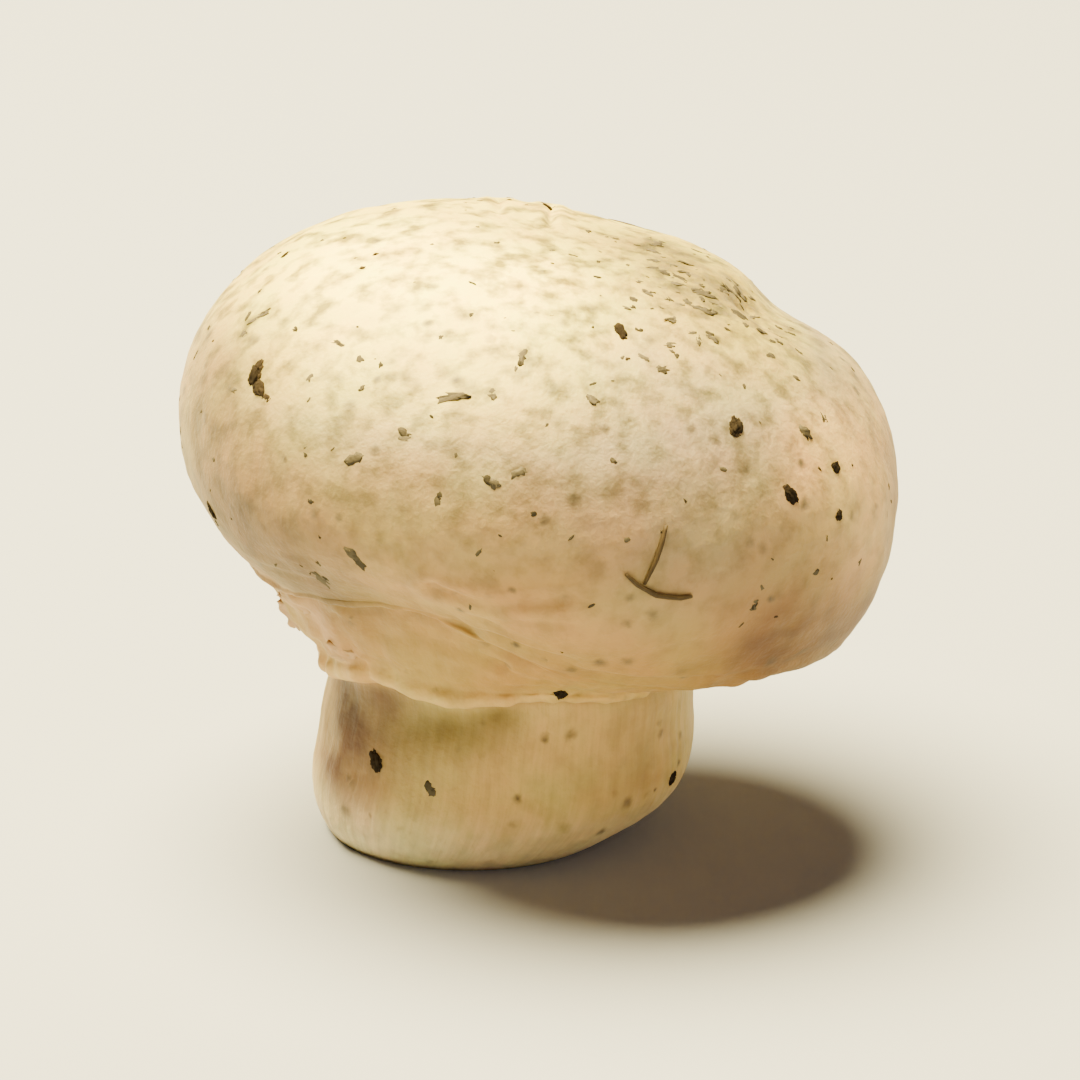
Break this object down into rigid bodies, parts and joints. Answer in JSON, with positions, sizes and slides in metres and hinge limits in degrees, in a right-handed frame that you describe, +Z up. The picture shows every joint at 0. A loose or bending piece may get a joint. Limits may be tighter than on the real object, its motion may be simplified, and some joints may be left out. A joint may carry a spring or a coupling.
{
  "type": "button mushroom",
  "caption": "Small closed white button mushroom: a round cap tipped to one side, a ragged veil under it and a short trimmed stem to stand on. A whole fresh food ingredient.",
  "frame": {"origin": "middle of the stem's flat cut end, on the surface that the mushroom stands on", "axes": "+Z up through the cap, -Y the front, +X to its right, the side that the cap tips to"},
  "size_m": [0.0186, 0.0184, 0.0163],
  "materials": {
    "mushroom_flesh": "matte"
  },
  "bodies": {
    "root": {"mushroom": "mushroom_flesh"}
  },
  "joints": []
}
